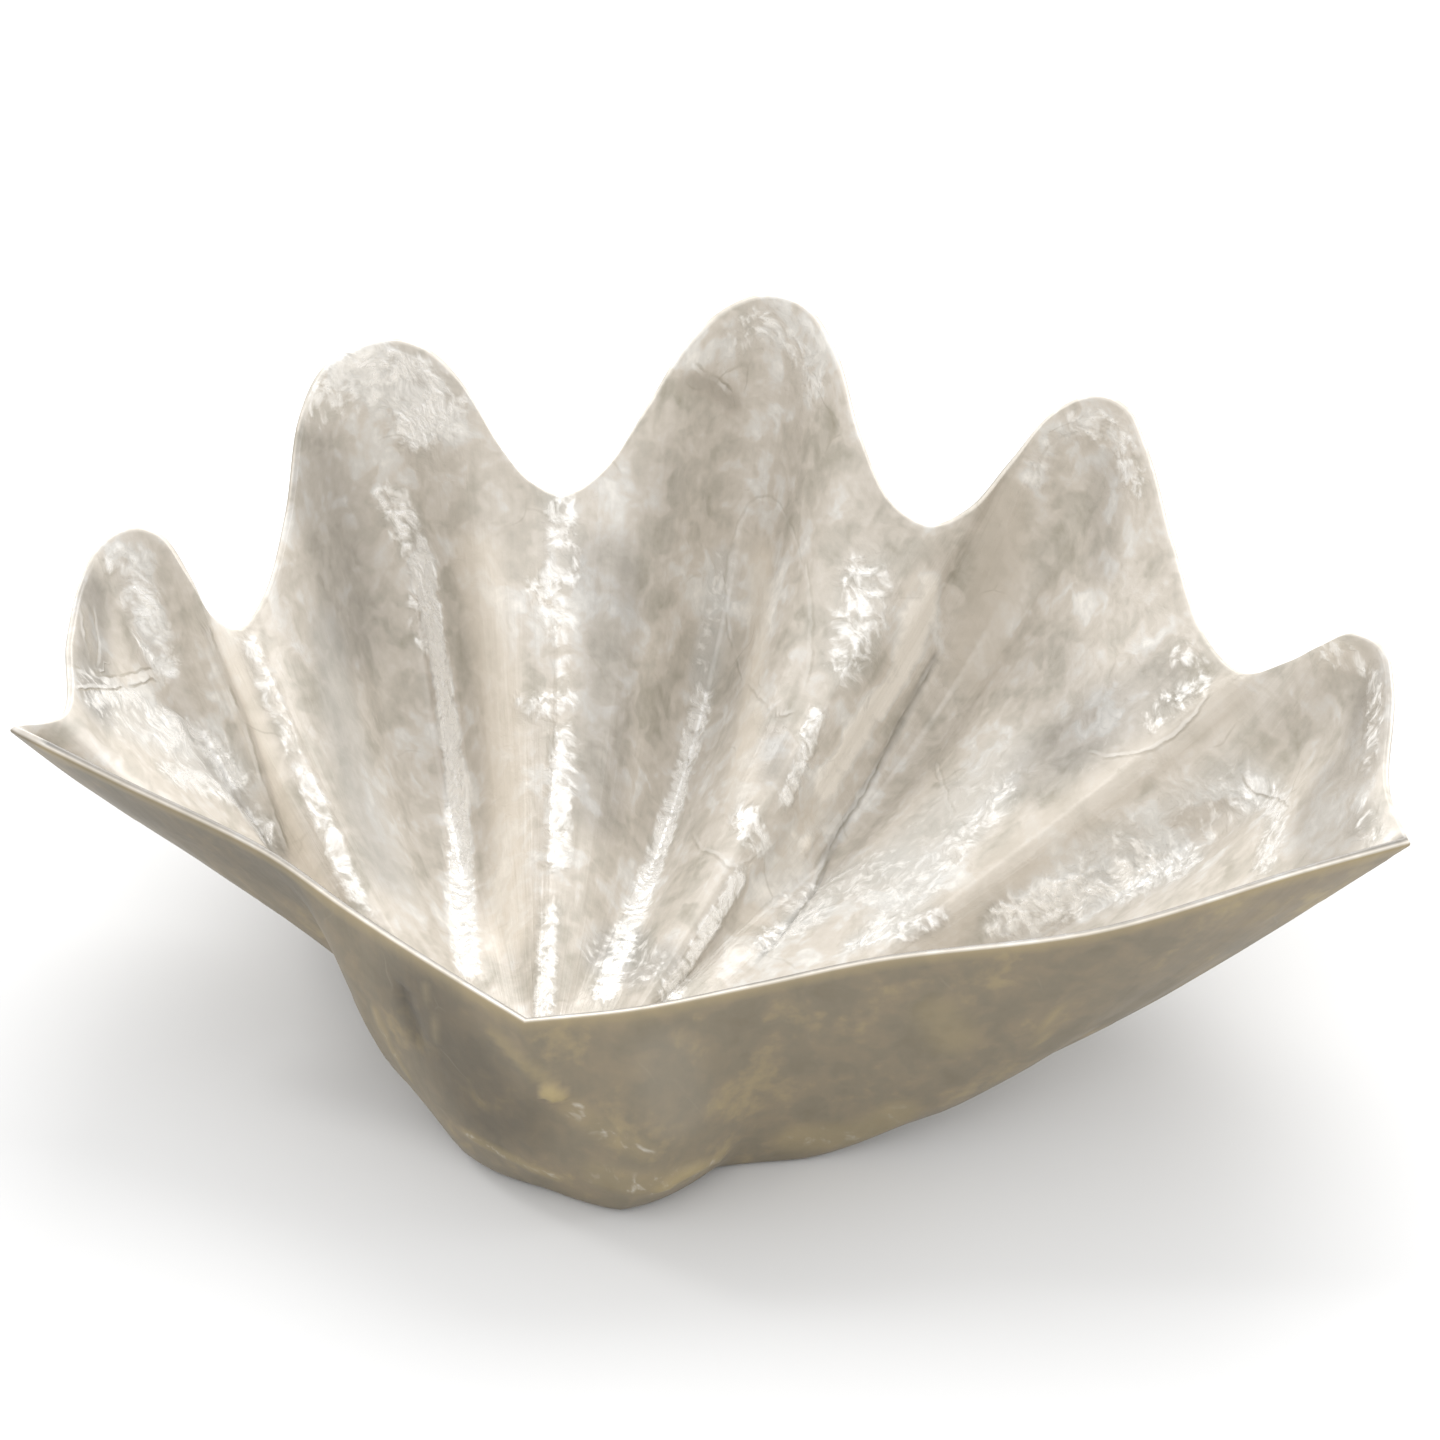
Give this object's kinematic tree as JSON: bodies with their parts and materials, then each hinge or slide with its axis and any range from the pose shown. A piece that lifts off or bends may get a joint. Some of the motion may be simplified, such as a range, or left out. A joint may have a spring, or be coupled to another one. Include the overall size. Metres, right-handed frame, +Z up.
{
  "type": "pearl shell dish",
  "caption": "Decorative dish in the form of one giant-clam valve with a scalloped rim and deep folds, its thin wall covered in mother-of-pearl flakes.",
  "frame": {"origin": "centre of the bounding box at the base, on the surface that the dish stands on", "axes": "+X along the length from the left tip to the right tip, +Y from the beak in front to the lobes at the back, +Z up"},
  "size_m": [0.5821, 0.401, 0.2241],
  "materials": {
    "mother_of_pearl": "gloss"
  },
  "bodies": {
    "root": {"shell": "mother_of_pearl"}
  },
  "joints": []
}
